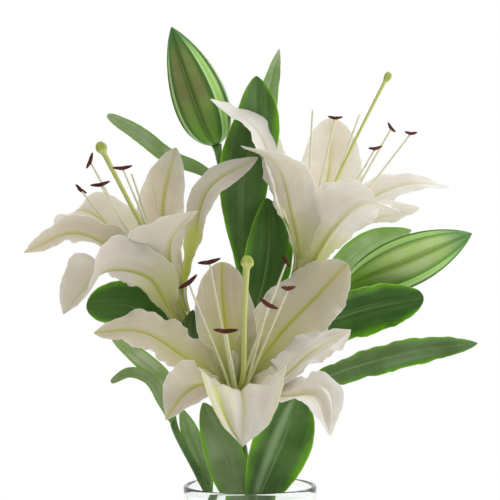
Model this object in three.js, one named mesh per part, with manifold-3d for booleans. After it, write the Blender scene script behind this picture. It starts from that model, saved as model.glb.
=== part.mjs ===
// Three white lilies with their buds and leaves, standing in a clear glass vase of water.
// Millimetres, +Z up, the origin at the centre of the vase's foot.
import * as THREE from 'three';
import { mergeVertices } from 'three/addons/utils/BufferGeometryUtils.js';
import Module from 'manifold-3d';

// ---- Driving dimensions ----
const vaseHeight = 230;
const footRadius = 42;
const rimRadius = 50;
const glassWall = 3.5;
const glassBase = 14;
const footBevel = 2;
const floorCorner = 4; // between the inner wall and the inner floor
const waterDepth = 132;

const stemRadius = 3.3;
const pedicelRadius = 2.8;
const receptacleRadius = 7.4;
const receptacleFlare = 10;

const tepalThickness = 0.9;
const tepalRoot = 7;
const tepalWidest = 0.62; // share of its length
const tepalCrowding = 1.1; // width over the arc that a tepal has to itself
const keelStart = 0.45; // shares of a tepal's length between which its keel deepens
const keelFull = 0.7;
const innerRing = 5.1;
const outerRing = 6.6;
const tubeLength = 26;
const tubeFlare = 3.6;

const filamentRadius = 0.95;
const filamentRing = 3.6;
const filamentFlare = 1.8;
const antherLength = 17;
const antherRadius = 1.7;
const ovaryRadius = 2.2;
const styleRadius = 1.9;
const stigmaRadius = 4.4;

const leafThickness = 0.9;
const leafRoot = 5;
const leafFold = 0.18; // depth of the fold over the half width

const topBudRadius = 21;
const sideBudRadius = 20;
const smallBudRadius = 8;
const budFlare = 5;
const budSeatRadius = 4;
const budBlunt = 0.85;
const budTipRadius = 0.8;
const stalkSpacing = 26; // between the rings of a stem

const narrowest = 1.2; // width of a tip
const edgeThinning = 0.55; // share of its thickness that a blade loses towards its edges
const tipCrowding = 1.3; // above 1, rings of a blade lie closer towards the tip

const fit = 0.3; // gap that neighbouring pieces keep
const overlapLimit = 0.001; // cubic millimetres

const glassColour = '#eef6f3';
const waterColour = '#e4f2ee';
const tepalColour = '#f4efe9';
const stamenColour = '#5a2b26';
const pistilColour = '#b9c45c';
const leafColour = '#3c6b30';
const stemColour = '#5d8a45';
const budColour = '#7fae55';

// ---- Boolean library and scene ----
const wasm = await Module();
wasm.setup();
const lilies = new THREE.Group();
const placed = [];

const vector = (point) => new THREE.Vector3(...point);
const radians = THREE.MathUtils.degToRad;
const sideOn = new THREE.Vector3(0, 1, 0);
const askew = new THREE.Vector3(0.31, 0.95, 0.12); // along no stem
const latheSides = 36;

// Points above the rim are measured from the centre of the vase's mouth.
const fromRim = ([x, y, z]) => new THREE.Vector3(x, y, z + vaseHeight);

function solidOf(positions, triangles) {
  const vertProperties = new Float32Array(positions);
  const triVerts = new Uint32Array(triangles);
  return new wasm.Manifold(new wasm.Mesh({ numProp: 3, vertProperties, triVerts }));
}

function solidOfGeometry(geometry) {
  geometry.deleteAttribute('normal');
  geometry.deleteAttribute('uv');
  const merged = mergeVertices(geometry);
  return solidOf(merged.attributes.position.array, merged.index.array);
}

function geometryOf(solid) {
  const mesh = solid.getMesh();
  const geometry = new THREE.BufferGeometry();
  geometry.setAttribute('position', new THREE.BufferAttribute(mesh.vertProperties, 3));
  geometry.setIndex(new THREE.BufferAttribute(mesh.triVerts, 1));
  geometry.computeVertexNormals();
  return geometry;
}

function largestBody(solid) {
  const bodies = solid.decompose();
  return bodies.reduce((a, b) => (a.volume() > b.volume() ? a : b));
}

// Each new piece gives way to the pieces already in place, with the gap that their cutters hold.
function place(name, colour, roughness, solid, cutter) {
  let body = solid;
  for (const other of placed) {
    if (body.intersect(other.solid).volume() > overlapLimit) {
      body = largestBody(body.subtract(other.cutter).subtract(other.solid));
    }
  }
  placed.push({ solid: body, cutter });
  const material = new THREE.MeshStandardMaterial({ color: colour, roughness, metalness: 0 });
  const mesh = new THREE.Mesh(geometryOf(body), material);
  mesh.name = name;
  lilies.add(mesh);
}

// ---- Shape builders ----

// Closed solid through rings of points that all have the same even count. The two halves of a ring
// are split along facing diagonals, so that a twisted blade keeps its thickness.
function loft(rings) {
  const count = rings[0].length;
  const positions = rings.flat().flatMap((point) => point.toArray());
  const triangles = [];
  for (let ring = 0; ring + 1 < rings.length; ring += 1) {
    for (let i = 0; i < count; i += 1) {
      const next = (i + 1) % count;
      const low = ring * count;
      const high = low + count;
      if (i < count / 2) triangles.push(low + i, low + next, high + next, low + i, high + next, high + i);
      else triangles.push(low + i, low + next, high + i, low + next, high + next, high + i);
    }
  }
  const last = (rings.length - 1) * count;
  for (let i = 0; i + 1 < count / 2; i += 1) {
    const far = count - i - 1;
    triangles.push(i, far, i + 1, last + i, last + i + 1, last + far);
  }
  for (let i = 1; i < count / 2; i += 1) {
    const far = count - i - 1;
    triangles.push(i, far + 1, far, last + i, last + far, last + far + 1);
  }
  const solid = solidOf(positions, triangles);
  return solid.volume() > 0 ? solid : solidOf(positions, triangles.reverse());
}

function curveThrough(points) {
  return new THREE.CatmullRomCurve3(points, false, 'centripetal');
}

// Round stem through points; stations are [share of the length, radius].
function tube(points, stations, sides, swell = 0) {
  const curve = curveThrough(points);
  let across = askew.clone().cross(curve.getTangentAt(0)).normalize();
  const rings = stations.map(([share, radius]) => {
    const centre = curve.getPointAt(share);
    const along = curve.getTangentAt(share);
    across = across.clone().addScaledVector(along, -across.dot(along)).normalize();
    const other = along.clone().cross(across);
    return Array.from({ length: sides }, (_, side) => {
      const turn = (side / sides) * 2 * Math.PI;
      return centre
        .clone()
        .addScaledVector(across, Math.cos(turn) * (radius + swell))
        .addScaledVector(other, Math.sin(turn) * (radius + swell));
    });
  });
  return loft(rings);
}

// Outline that rises from 0 to 1 at the widest share and falls to 0 at the tip; blunt shapes that fall.
function swelling(share, widest, blunt) {
  const rise = (blunt * widest) / (1 - widest);
  const peak = widest ** rise * (1 - widest) ** blunt;
  return (share ** rise * (1 - share) ** blunt) / peak;
}

function evenStations(count, radiusAt) {
  return Array.from({ length: count }, (_, i) => [i / (count - 1), radiusAt(i / (count - 1))]);
}

// Thin cupped blade along a spine: widthAt, acrossAt and cupAt follow the share of its length.
function blade(points, rings, thickness, widthAt, acrossAt, cupAt, swell = 0) {
  const curve = curveThrough(points);
  const sections = [];
  for (let ring = 0; ring < rings; ring += 1) {
    const step = ring / (rings - 1);
    const share = 1 - (1 - step) ** tipCrowding;
    const centre = curve.getPointAt(share);
    const along = curve.getTangentAt(share);
    const side = acrossAt(along, share).normalize();
    const face = along.clone().cross(side);
    const half = widthAt(share, centre) / 2;
    const cup = cupAt(share, half, centre);
    const at = (u, sign) => {
      const thick = thickness * (1 - edgeThinning * u * u) + 2 * swell;
      const lift = cup * u * u + (sign * thick) / 2;
      return centre
        .clone()
        .addScaledVector(side, u * (half + swell))
        .addScaledVector(face, lift);
    };
    const over = [-0.5, 0, 0.5].map((u) => at(u, 1));
    const under = [0.5, 0, -0.5].map((u) => at(u, -1));
    sections.push([at(-1, 0), ...over, at(1, 0), ...under]);
  }
  return loft(sections);
}

// ---- Vase and water ----
const innerRadiusAt = (height) => {
  const outer = footRadius + (rimRadius - footRadius) * (height / vaseHeight);
  return outer - glassWall;
};

function latheSolid(profile) {
  const points = profile.map(([radius, height]) => new THREE.Vector2(radius, height));
  const geometry = new THREE.LatheGeometry(points, latheSides);
  return solidOfGeometry(geometry.rotateX(Math.PI / 2));
}

function vaseSolid() {
  const rimMiddle = rimRadius - glassWall / 2;
  const rimRound = [0, 1, 2, 3, 4].map((i) => {
    const turn = (i / 4) * Math.PI;
    const lift = Math.sin(turn) * (glassWall / 2);
    return [rimMiddle + Math.cos(turn) * (glassWall / 2), vaseHeight - glassWall / 2 + lift];
  });
  return latheSolid([
    [0, 0],
    [footRadius - footBevel, 0],
    [footRadius, footBevel],
    ...rimRound,
    [innerRadiusAt(glassBase + floorCorner), glassBase + floorCorner],
    [innerRadiusAt(glassBase) - floorCorner, glassBase],
    [0, glassBase],
  ]);
}

function waterSolid() {
  const low = glassBase + fit;
  const high = glassBase + waterDepth;
  return latheSolid([
    [0, low],
    [innerRadiusAt(low) - floorCorner - fit, low],
    [innerRadiusAt(low + floorCorner) - fit, low + floorCorner],
    [innerRadiusAt(high) - fit, high],
    [0, high],
  ]);
}

// ---- Flowers: places, axes and tepals ----
// Points are measured from the flower's seat.
// Tepal rows, clockwise from the back: name, ring, width, roll at the tip, bluntness, depth of the
// keel over the half width, points beyond the throat.
// Stamen rows, the other way round: the filament's end, then the way its anther lies, or null where
// the anther has dropped.
const flowers = [
  {
    name: 'front',
    pistilSize: 1,
    seat: [-9, -8, 49],
    axis: [0.02, -0.6, 0.8],
    firstTurn: 112,
    tepals: [
      ['back_left', innerRing, 46, 0, 0.5, 0, [[-9, 8, 67], [-12, 16, 95], [-12, 12, 118]]],
      ['back_right', outerRing, 58, 0, 0.6, 0, [[31, 8, 63], [60, 16, 93], [82, 10, 117]]],
      ['right', innerRing, 40, 0, 0.9, 0, [[31, -34, 33], [54, -22, 52], [84, -4, 68]]],
      ['front_right', outerRing, 42, 0, 1, 0.15, [[36, -58, 23], [57, -80, 25], [65, -90, -2]]],
      ['front', innerRing, 62, 0, 1.15, 0.45, [[3, -68, 27], [5, -92, 15], [4, -96, -9]]],
      ['front_left', outerRing, 42, 0, 1, 0.15, [[-24, -54, 31], [-38, -74, 25], [-50, -80, 8]]],
      ['left', innerRing, 44, 0, 0.8, 0, [[-42, -26, 51], [-71, -34, 68], [-104, -38, 67]]],
    ],
    pistil: [[4, -32, 36], [5, -42, 79], [7, -44, 123]],
    firstStamenTurn: 320,
    antherSize: 1,
    stamens: [
      [[22, -58, 88], [0.75, 0.45, -0.45]],
      [[37, -30, 99], [0.6, 0.8, 0]],
      [[36, -6, 118], [0.3, 0.8, -0.5]],
      [[-21, -12, 118], [0.97, 0.1, 0.2]],
      [[-36, -22, 103], [0.8, 0, 0.6]],
      [[-8, -76, 70], [1, 0, 0]],
    ],
  },
  {
    name: 'left',
    pistilSize: 0.9,
    seat: [-48, 22, 114],
    axis: [-0.4, -0.2, 0.9],
    firstTurn: 60,
    tepals: [
      ['back_right', innerRing, 40, 0, 0.75, 0, [[-18, 16, 66], [-19, 20, 101], [-9, 12, 141]]],
      ['right', outerRing, 29, 55, 0.8, 0, [[6, -13, 68], [17, -17, 108], [54, -16, 132]]],
      ['front', innerRing, 66, 0, 0.45, 0, [[-12, -30, 53], [-10, -44, 71], [6, -56, 90]]],
      ['front_left', outerRing, 44, 12, 0.7, 0.6, [[-29, -42, 43], [-59, -54, 46], [-88, -58, 15]]],
      ['left', innerRing, 40, 50, 0.9, 0, [[-48, -18, 57], [-83, -26, 75], [-121, -28, 60]]],
      ['back_left', outerRing, 46, 0, 0.45, 0, [[-54, 18, 74], [-84, 30, 93], [-105, 38, 80]]],
    ],
    pistil: [[-16, -8, 47], [-42, -14, 96], [-66, -20, 143]],
    firstStamenTurn: 20,
    antherSize: 0.86,
    stamens: [
      [[-28, 2, 118], null],
      [[-42, -6, 120], null],
      [[-79, -20, 107], [0.45, 0.75, -0.4]],
      [[-71, -32, 128], [0.25, 0.5, 0.8]],
      [[-62, -48, 110], [0.97, 0, 0.2]],
      [[-47, -30, 123], [1, 0, 0.1]],
    ],
  },
  {
    name: 'right',
    pistilSize: 0.6,
    seat: [34, 32, 142],
    axis: [0.38, -0.15, 0.92],
    firstTurn: 108,
    tepals: [
      ['back', innerRing, 52, 0, 0.5, 0, [[22, 18, 69], [29, 26, 105], [29, 22, 137]]],
      ['right_upper', outerRing, 33, 0, 0.9, 0, [[53, 14, 69], [87, 18, 85], [121, 14, 83]]],
      ['right_lower', innerRing, 36, -50, 0.8, 0, [[50, -10, 53], [75, -12, 62], [95, -14, 66]]],
      ['front', outerRing, 52, 0, 0.65, 0, [[30, -34, 52], [51, -48, 69], [76, -60, 62]]],
      ['front_left', innerRing, 50, 15, 0.9, 0, [[-2, -26, 60], [-14, -32, 98], [-41, -38, 112]]],
      ['back_left', outerRing, 38, -15, 0.8, 0, [[-11, 4, 69], [-28, -12, 124], [-64, -24, 148]]],
    ],
    pistil: [[17, -4, 53], [43, -10, 111], [72, -16, 169]],
    firstStamenTurn: 340,
    antherSize: 0.75,
    stamens: [
      [[73, -20, 126], [0.5, 0.7, -0.5]],
      [[89, -8, 123], [0.8, 0.6, 0]],
      [[51, 10, 139], null],
      [[32, 8, 136], [0.9, 0.4, 0]],
      [[14, -6, 141], null],
      [[60, -34, 110], [0.8, 0.5, 0.15]],
    ],
  },
];

function frameOf(flower) {
  const up = vector(flower.axis).normalize();
  const right = sideOn.clone().cross(up).normalize();
  const back = up.clone().cross(right);
  const seat = fromRim(flower.seat);
  const at = (radius, turn, height) =>
    seat
      .clone()
      .addScaledVector(up, height)
      .addScaledVector(right, Math.cos(turn) * radius)
      .addScaledVector(back, Math.sin(turn) * radius);
  const radiusOf = (point) => {
    const offset = point.clone().sub(seat);
    return offset.addScaledVector(up, -offset.dot(up)).length();
  };
  return { up, seat, at, radiusOf };
}

// The throat widens from the ring on the receptacle to the mouth of the tube.
function throatPoints(frame, ring, turn) {
  return [frame.at(ring, turn, fit), frame.at(ring + tubeFlare, turn, tubeLength)];
}

function placeTepals(flower, frame) {
  const spread = 360 / flower.tepals.length;
  flower.tepals.forEach(([name, ring, width, roll, blunt, keel, reach], index) => {
    const turn = radians(flower.firstTurn - spread * index);
    const beyond = reach.map((offset) => frame.seat.clone().add(vector(offset)));
    const points = [...throatPoints(frame, ring, turn), ...beyond];
    const outward = beyond[0].clone().sub(frame.seat);
    const rootAcross = frame.up.clone().cross(frame.at(1, turn, 0).sub(frame.seat));
    const tipAcross = frame.up.clone().cross(outward).normalize();
    const acrossAt = (along, share) => {
      const across = rootAcross.clone().lerp(tipAcross, Math.min(1, share * 2));
      across.addScaledVector(along, -across.dot(along));
      return across.applyAxisAngle(along, radians(roll * share));
    };
    const widthAt = (share, centre) => {
      const full = width * swelling(share, tepalWidest, blunt);
      const room = frame.radiusOf(centre) * radians(spread) * tepalCrowding;
      return Math.max(narrowest, Math.min(Math.max(full, tepalRoot * (1 - share)), room));
    };
    const cupAt = (share, half, centre) => {
      const fold = keel * half * THREE.MathUtils.smoothstep(share, keelStart, keelFull);
      return (half * half) / (2 * frame.radiusOf(centre)) + fold;
    };
    const make = (swell) => blade(points, 10, tepalThickness, widthAt, acrossAt, cupAt, swell);
    place(`${flower.name}_flower_tepal_${name}`, tepalColour, 0.5, make(0), make(fit));
  });
}

function placeStamens(flower, frame) {
  flower.stamens.forEach(([reach, antherWay], index) => {
    const end = frame.seat.clone().add(vector(reach));
    const turn = radians(flower.firstStamenTurn + (360 / flower.stamens.length) * index);
    const points = [
      frame.at(filamentRing, turn, fit),
      frame.at(filamentRing + filamentFlare, turn, tubeLength),
      end,
    ];
    const make = (swell) => {
      const filament = tube(points, evenStations(7, () => filamentRadius), 6, swell);
      if (!antherWay) return filament;
      return filament.add(antherSolid(end, vector(antherWay), flower.antherSize, swell));
    };
    place(`${flower.name}_flower_stamen_${index + 1}`, stamenColour, 0.8, make(0), make(fit));
  });
}

function antherSolid(middle, way, size, swell) {
  const half = way.normalize().multiplyScalar((size * antherLength) / 2);
  const ends = [middle.clone().sub(half), middle, middle.clone().add(half)];
  const belly = [[0, 0.2], [0.2, 0.8], [0.5, 1], [0.8, 0.8], [1, 0.2]];
  const stations = belly.map(([share, part]) => [share, part * size * antherRadius]);
  return tube(ends, stations, 6, swell);
}

function placePistil(flower, frame) {
  const reach = flower.pistil.map((offset) => frame.seat.clone().add(vector(offset)));
  const points = [frame.at(0, 0, fit), frame.at(0, 0, tubeLength), ...reach];
  const stations = [
    [0, ovaryRadius * 0.8],
    [0.04, ovaryRadius],
    [0.2, ovaryRadius],
    [0.26, styleRadius],
    [0.45, styleRadius],
    [0.65, styleRadius],
    [0.8, styleRadius],
    [0.92, styleRadius * 1.2],
    [0.96, stigmaRadius * 0.75],
    [0.98, stigmaRadius],
    [1, stigmaRadius * 0.6],
  ];
  const sized = stations.map(([share, radius]) => [share, radius * flower.pistilSize]);
  const make = (swell) => tube(points, sized, 8, swell);
  place(`${flower.name}_flower_pistil`, pistilColour, 0.5, make(0), make(fit));
}

// ---- Stems, with the stalks that branch from them ----
// A stem stands on the vase's floor at foot, crosses the mouth and rises to the flower of its name.
// A stalk leaves its stem at the height given and ends at a bud.
const stems = [
  {
    name: 'front',
    foot: [6, -24],
    rise: [[0, -12, -85], [-3, 2, 8], [-6, 3, 33]],
    stalks: [],
  },
  {
    name: 'left',
    foot: [24, 0],
    rise: [[-4, 4, -85], [-26, 10, -20], [-39, 14, 6], [-58, 22, 43], [-59, 25, 62], [-52, 26, 88]],
    stalks: [],
  },
  {
    name: 'right',
    foot: [-18, 16],
    rise: [[0, 20, -80], [5, 27, -20], [6, 30, 5], [9, 36, 45], [15, 40, 85], [23, 38, 113]],
    stalks: [
      { name: 'top', from: 84, via: [[-2, 50, 137], [-13, 56, 184], [-20, 58, 230], [-26, 51, 258]] },
      { name: 'side', from: 82, via: [[31, 52, 107], [53, 58, 127], [72, 56, 146]] },
      { name: 'small', from: 40, via: [[-20, 34, 62], [-36, 22, 88], [-42, 8, 108]] },
    ],
  },
];

// A bud runs from its stalk's end to its tip, and bow is how far its middle leans off that line.
const buds = {
  top: { tip: [-61, 44, 349], radius: topBudRadius, widest: 0.36, bow: [1, 0, 0] },
  side: { tip: [173, 50, 189], radius: sideBudRadius, widest: 0.46, bow: [-1, 0, -1] },
  small: { tip: [-43, 4, 131], radius: smallBudRadius, widest: 0.52, bow: [0, 0, 0] },
};

const runs = {}; // centre line of each stem and stalk

function pointAtHeight(curve, height) {
  const points = curve.getPoints(200);
  return points.reduce((a, b) => (Math.abs(b.z - height) < Math.abs(a.z - height) ? b : a));
}

function flaredStations(length, thick, thin, flare, mouth) {
  const even = evenStations(Math.ceil(length / stalkSpacing) + 2, (share) => thick + (thin - thick) * share);
  const neck = 1 - flare / length;
  const body = even.map(([share, radius]) => [share * neck, radius]);
  return [...body, [1 - (0.45 * flare) / length, thin + (mouth - thin) * 0.4], [1, mouth]];
}

function stalkSolid(points, thick, flare, mouth, swell) {
  const length = curveThrough(points).getLength();
  return tube(points, flaredStations(length, thick, pedicelRadius, flare, mouth), 8, swell);
}

function budSolid(seat, bud, gap, swell) {
  const tip = fromRim(bud.tip);
  const way = tip.clone().sub(seat).normalize();
  const start = seat.clone().addScaledVector(way, gap);
  const middle = start.clone().lerp(tip, 0.5).add(vector(bud.bow));
  const radiusAt = (share) => {
    const root = budSeatRadius * (1 - share);
    return Math.max(budTipRadius, root, bud.radius * swelling(share, bud.widest, budBlunt));
  };
  return tube([start, middle, tip], evenStations(11, radiusAt), 12, swell);
}

function placeStem(stem) {
  const flower = flowers.find((one) => one.name === stem.name);
  const { seat, up } = frameOf(flower);
  const foot = new THREE.Vector3(...stem.foot, glassBase + fit);
  const neck = seat.clone().addScaledVector(up, -receptacleFlare);
  const points = [foot, ...stem.rise.map(fromRim), neck, seat];
  runs[stem.name] = curveThrough(points);
  for (const stalk of stem.stalks) {
    const start = pointAtHeight(runs[stem.name], vaseHeight + stalk.from);
    runs[stalk.name] = curveThrough([start, ...stalk.via.map(fromRim)]);
  }
  const make = (swell) => {
    let solid = stalkSolid(points, stemRadius, receptacleFlare, receptacleRadius, swell);
    for (const stalk of stem.stalks) {
      const via = runs[stalk.name].points;
      solid = solid.add(stalkSolid(via, pedicelRadius, budFlare, budSeatRadius, swell));
      if (stalk.name === 'small') solid = solid.add(budSolid(via.at(-1), buds.small, -2, swell));
    }
    return solid;
  };
  place(`${stem.name}_stem`, stemColour, 0.55, make(0), make(fit));
}

function placeBud(name) {
  const seat = runs[name].points.at(-1);
  const make = (swell) => budSolid(seat, buds[name], fit, swell);
  place(`${name}_bud`, budColour, 0.5, make(0), make(fit));
}

// ---- Leaves ----
// Rows: name, run that carries it, height on it, width, share of its length where it is widest,
// bluntness, roll at root and tip, points beyond the root.
const leaves = [
  ['tall', 'top', 148, 41, 0.62, 0.7, [0, 10], [[-6, 44, 195], [-4, 38, 238], [5, 34, 276], [5, 34, 310]]],
  ['crown', 'top', 184, 19, 0.6, 0.8, [0, 30], [[5, 64, 255], [14, 62, 298], [23, 60, 334]]],
  ['centre', 'top', 121, 38, 0.5, 0.7, [0, 15], [[12, 38, 159], [15, 35, 187], [13, 32, 216]]],
  ['high_left', 'top', 227, 13, 0.6, 0.4, [0, 10],
    [[-41, 54, 240], [-62, 52, 248], [-86, 50, 266], [-111, 48, 281]]],
  ['broad_left', 'left', 92, 40, 0.6, 0.5, [20, 20], [[-65, 30, 118], [-93, 26, 133], [-125, 24, 133]]],
  ['pale_left', 'left', 56, 15, 0.5, 0.7, [20, 20], [[-66, 10, 78], [-84, 6, 95], [-105, 4, 111]]],
  ['curled_left', 'left', 43, 10, 0.55, 0.35, [30, 30],
    [[-66, 6, 62], [-76, 2, 79], [-90, -2, 84], [-104, -4, 77]]],
  ['low_left', 'left', -12, 17, 0.5, 0.7, [-20, 0], [[-37, 22, 14], [-46, 26, 37], [-53, 28, 55]]],
  ['low_front', 'front', -24, 29, 0.5, 0.7, [0, 0], [[-14, -10, 8], [-22, -10, 32], [-35, -4, 62]]],
  ['low_right', 'front', -28, 44, 0.62, 0.7, [0, 0], [[15, -16, 12], [26, -12, 38], [37, -4, 70]]],
  ['long_right', 'right', 54, 24, 0.62, 0.7, [20, 20],
    [[55, 16, 78], [89, 10, 91], [128, 6, 101], [171, 2, 106]]],
  ['broad_right', 'side', 108, 41, 0.55, 0.5, [20, 20], [[68, 34, 124], [98, 30, 133], [133, 28, 140]]],
  ['bright_right', 'side', 127, 26, 0.5, 0.7, [0, 20], [[72, 82, 158], [96, 86, 181], [129, 84, 192]]],
];

function placeLeaf([name, run, height, width, widest, blunt, roll, reach]) {
  const root = pointAtHeight(runs[run], vaseHeight + height);
  const points = [root, ...reach.map(fromRim)];
  const acrossAt = (along, share) => {
    const turn = radians(roll[0] + (roll[1] - roll[0]) * share);
    return along.clone().cross(sideOn).applyAxisAngle(along, turn);
  };
  const widthAt = (share) => {
    return Math.max(narrowest, width * swelling(share, widest, blunt), leafRoot * (1 - share));
  };
  const cupAt = (share, half) => half * leafFold;
  const make = (swell) => blade(points, 9, leafThickness, widthAt, acrossAt, cupAt, swell);
  place(`${name}_leaf`, leafColour, 0.45, make(0), make(fit));
}

// ---- Assembly ----
place('vase', glassColour, 0.05, vaseSolid(), vaseSolid());
stems.forEach(placeStem);
placeBud('top');
placeBud('side');
for (const flower of flowers) placePistil(flower, frameOf(flower));
for (const flower of flowers) placeStamens(flower, frameOf(flower));
for (const flower of flowers) placeTepals(flower, frameOf(flower));
leaves.forEach(placeLeaf);
place('water', waterColour, 0.05, waterSolid(), waterSolid());

export default lilies;
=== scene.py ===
"""White lilies with buds and leaves in a clear glass vase of water.

Shapes are worked out in millimetres, +Z up, with the vase's foot at the origin, and scaled to metres
when each mesh is made.
"""
import math

import bpy
import numpy as np
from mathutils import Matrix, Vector


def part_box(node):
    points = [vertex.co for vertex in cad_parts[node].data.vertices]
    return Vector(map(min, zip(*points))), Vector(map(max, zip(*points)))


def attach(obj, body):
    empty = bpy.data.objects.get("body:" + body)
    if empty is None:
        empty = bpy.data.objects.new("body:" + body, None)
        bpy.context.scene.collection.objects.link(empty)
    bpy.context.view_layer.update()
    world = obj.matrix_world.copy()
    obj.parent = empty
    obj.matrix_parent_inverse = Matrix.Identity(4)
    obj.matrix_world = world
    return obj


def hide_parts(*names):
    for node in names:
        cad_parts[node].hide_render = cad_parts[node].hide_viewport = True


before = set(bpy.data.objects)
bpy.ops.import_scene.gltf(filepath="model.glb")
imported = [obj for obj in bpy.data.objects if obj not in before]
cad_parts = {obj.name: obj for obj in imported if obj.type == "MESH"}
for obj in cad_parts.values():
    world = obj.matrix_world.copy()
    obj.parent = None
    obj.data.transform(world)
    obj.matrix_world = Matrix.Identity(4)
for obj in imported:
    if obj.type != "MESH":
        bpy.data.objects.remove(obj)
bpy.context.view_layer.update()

MM = 0.001


def box_mm(node):
    """Lowest and highest corner of a node of the frame, in millimetres."""
    return [np.array(corner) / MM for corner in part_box(node)]


# ---- Sizes that the frame gives ----
VASE_HIGH = box_mm("vase")[1]
WATER_LOW, WATER_HIGH = box_mm("water")
VASE_HEIGHT = VASE_HIGH[2]
RIM_RADIUS = VASE_HIGH[0]
GAP = 0.3  # between neighbouring solids of the frame
GLASS_BASE = WATER_LOW[2] - GAP
WATER_TOP = WATER_HIGH[2]

# ---- Sizes of the growing parts ----
FOOT_RADIUS = 42
GLASS_WALL = 3.5
STEM_RADIUS = 3.3
STALK_RADIUS = 2.8
SEAT_RADIUS = 7.4  # of the stem's end, where a flower sits
SEAT_FLARE = 10
BUD_SEAT_RADIUS = 4
BUD_FLARE = 5

TEPAL_THICKNESS = 0.9
TEPAL_ROOT = 7
TEPAL_CROWDING = 1.25  # width over the arc that a tepal has to itself
OUTER_OVERLAP = 1.45  # outer tepals reach behind the inner ones
TEPAL_WIDEST = 0.62
INNER_RING = 5.1
OUTER_RING = 6.6
TUBE_LENGTH = 26
TUBE_FLARE = 3.6

FILAMENT_RADIUS = 1.1
FILAMENT_RING = 3.6
FILAMENT_FLARE = 1.8
ANTHER_LENGTH = 17
ANTHER_RADIUS = 1.7
ANTHER_BOW = 1.1
OVARY_RADIUS = 2.2
STYLE_RADIUS = 1.9
STIGMA_RADIUS = 4.4

LEAF_THICKNESS = 0.9
LEAF_ROOT = 5
LEAF_FOLD = 0.18
NARROWEST = 1.2

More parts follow.
